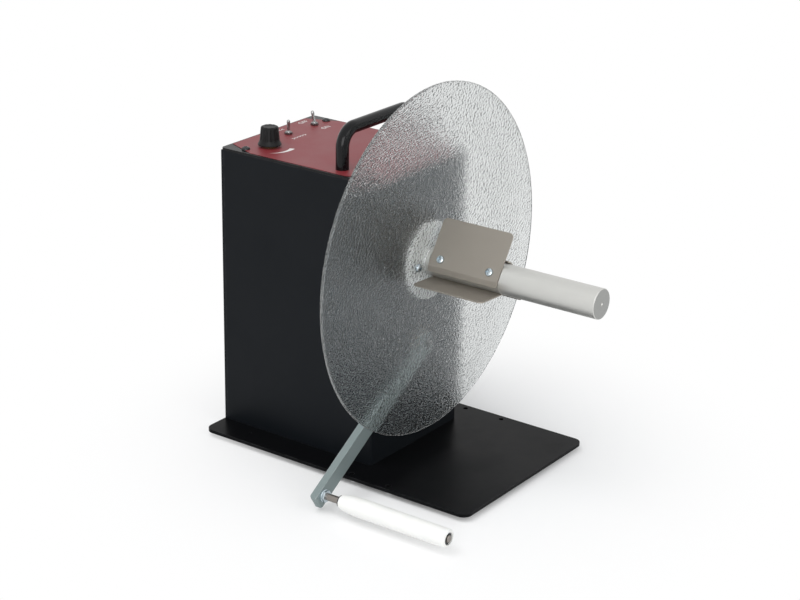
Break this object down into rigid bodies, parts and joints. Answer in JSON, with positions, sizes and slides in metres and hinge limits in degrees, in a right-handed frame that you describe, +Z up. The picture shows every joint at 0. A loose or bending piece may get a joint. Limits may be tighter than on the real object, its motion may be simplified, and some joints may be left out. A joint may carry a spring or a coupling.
{
  "type": "label rewinder",
  "caption": "Table-top label rewinder: a motor box on a base plate turns a spindle with a clear roll flange and core fins, beside a swinging tension arm with a loose roller.",
  "frame": {"origin": "on the table, under the spindle's axis and half way along the whole machine", "axes": "+X along the spindle, away from the motor box; +Z up; the tension arm reaches towards -Y"},
  "size_m": [0.3398, 0.3002, 0.326],
  "materials": {
    "black_powder_coat": "satin powder coat",
    "base_black": "semi-gloss paint",
    "label_red": "gloss film",
    "clear_sheet": "pebbled clear plastic",
    "turned_aluminium": "fine turned",
    "fin_steel": "brushed",
    "zinc_plate": "zinc plated",
    "arm_grey": "satin",
    "pin_steel": "ground",
    "white_nylon": "turned plastic",
    "black_plastic": "moulded",
    "handle_black": "gloss",
    "foot_rubber": "matte",
    "switch_chrome": "polished",
    "bush_bronze": "turned",
    "black_screw": "blackened",
    "inner_steel": "mill",
    "cast_aluminium": "machined",
    "motor_grey": "satin",
    "board_green": "solder mask",
    "sensor_blue": "moulded"
  },
  "bodies": {
    "frame": {"base_plate": "base_black", "rubber_feet": "foot_rubber", "base_screws": "zinc_plate", "housing_shell": "black_powder_coat", "rear_cover": "black_powder_coat", "rear_cover_screws": "black_screw", "drive_plate": "inner_steel", "top_panel": "black_powder_coat", "control_label": "label_red", "top_panel_screws": "black_screw", "carry_handle": "handle_black", "handle_screws": "zinc_plate", "speed_pot": "inner_steel", "pot_nut": "bush_bronze", "direction_switch": "switch_chrome", "power_switch": "switch_chrome", "switch_nuts": "switch_chrome", "power_inlet": "black_plastic", "inlet_nut": "zinc_plate", "bearing_block": "cast_aluminium", "bearing_block_screws": "black_screw", "bearing_outer_rings": "inner_steel", "bearing_balls": "switch_chrome", "motor_bracket": "inner_steel", "gearbox": "cast_aluminium", "drive_motor": "motor_grey", "motor_screws": "zinc_plate", "control_board": "board_green", "board_standoffs": "sensor_blue", "board_components": "motor_grey", "pivot_bush": "bush_bronze", "bush_nut": "zinc_plate", "stop_pins": "inner_steel", "sensor_bracket": "inner_steel", "arm_sensor": "sensor_blue"},
    "spindle": {"spindle_shaft": "turned_aluminium", "hub_flange": "turned_aluminium", "roll_flange": "clear_sheet", "flange_screws": "zinc_plate", "core_fin_1": "fin_steel", "core_fin_2": "fin_steel", "core_fin_3": "fin_steel", "fin_screws": "zinc_plate", "bearing_inner_rings": "inner_steel", "shaft_coupling": "cast_aluminium", "gearbox_shaft": "inner_steel"},
    "arm": {"tension_arm": "arm_grey", "pivot_shaft": "inner_steel", "pivot_washer": "zinc_plate", "stop_lever": "inner_steel", "roller_pin": "pin_steel", "pin_nut": "zinc_plate", "pin_clips": "black_screw"},
    "roller": {"tension_roller": "white_nylon", "roller_bushes": "black_plastic"},
    "knob": {"speed_knob": "black_plastic", "pot_shaft": "inner_steel"},
    "direction_toggle": {"direction_lever": "switch_chrome"},
    "power_toggle": {"power_lever": "switch_chrome"}
  },
  "joints": [
    {"name": "spindle_spin", "type": "hinge", "parent": "frame", "child": "spindle", "pos_m": [0, 0, 0.176], "axis": [1, 0, 0], "continuous": true},
    {"name": "arm_swing", "type": "hinge", "parent": "frame", "child": "arm", "pos_m": [0, 0, 0.101], "axis": [-1, 0, 0], "range_deg": [0, 49]},
    {"name": "roller_spin", "type": "hinge", "parent": "arm", "child": "roller", "pos_m": [0.07, -0.13957, 0.013], "axis": [1, 0, 0], "continuous": true},
    {"name": "speed_knob_turn", "type": "hinge", "parent": "frame", "child": "knob", "pos_m": [-0.13655, -0.036, 0.26], "axis": [0, 0, 1], "range_deg": [-150, 150]},
    {"name": "direction_lever_tilt", "type": "hinge", "parent": "frame", "child": "direction_toggle", "pos_m": [-0.14705, 0.002, 0.257], "axis": [0, 1, 0], "range_deg": [-14, 14]},
    {"name": "power_lever_tilt", "type": "hinge", "parent": "frame", "child": "power_toggle", "pos_m": [-0.14705, 0.038, 0.257], "axis": [0, 1, 0], "range_deg": [0, 28]}
  ]
}
